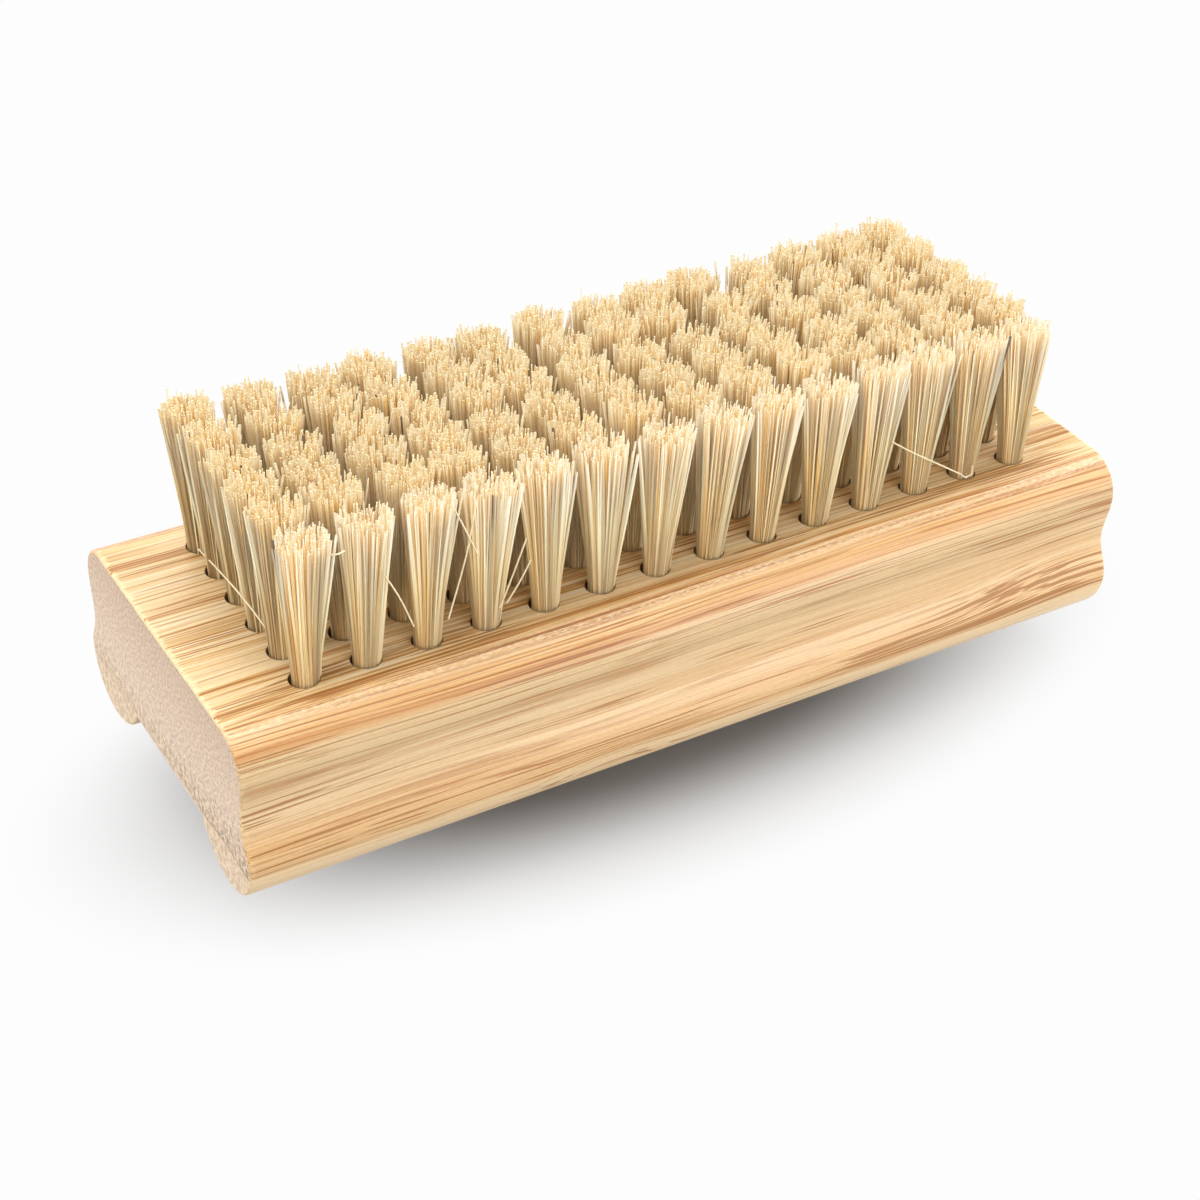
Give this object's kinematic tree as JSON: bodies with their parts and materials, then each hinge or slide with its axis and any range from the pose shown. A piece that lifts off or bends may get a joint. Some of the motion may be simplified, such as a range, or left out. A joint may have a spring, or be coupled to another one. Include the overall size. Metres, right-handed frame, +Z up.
{
  "type": "nail brush",
  "caption": "Two-sided nail brush: a bamboo block with finger grooves, stiff plant-fibre tufts on its flat top and a shorter set in the recess underneath.",
  "frame": {"origin": "on the surface that the brush stands on, at the trimmed tips of the underside bristles, under the middle of the block", "axes": "+X along the block, -Y towards its front side, +Z up through the main bristles"},
  "size_m": [0.095, 0.0376, 0.0385],
  "materials": {
    "bamboo": "satin bamboo, straight grain along the block, speckled end grain",
    "plant_fibre": "matt cream plant fibre, tufted and trimmed",
    "anchor_wire": "flat galvanised wire"
  },
  "bodies": {
    "root": {"block": "bamboo", "top_tufts_row_1": "plant_fibre", "top_tufts_row_2": "plant_fibre", "top_tufts_row_3": "plant_fibre", "top_tufts_row_4": "plant_fibre", "top_tufts_row_5": "plant_fibre", "top_tufts_row_6": "plant_fibre", "under_tufts_front_row": "plant_fibre", "under_tufts_back_row": "plant_fibre", "top_anchors_row_1": "anchor_wire", "top_anchors_row_2": "anchor_wire", "top_anchors_row_3": "anchor_wire", "top_anchors_row_4": "anchor_wire", "top_anchors_row_5": "anchor_wire", "top_anchors_row_6": "anchor_wire", "under_anchors_front_row": "anchor_wire", "under_anchors_back_row": "anchor_wire"}
  },
  "joints": []
}
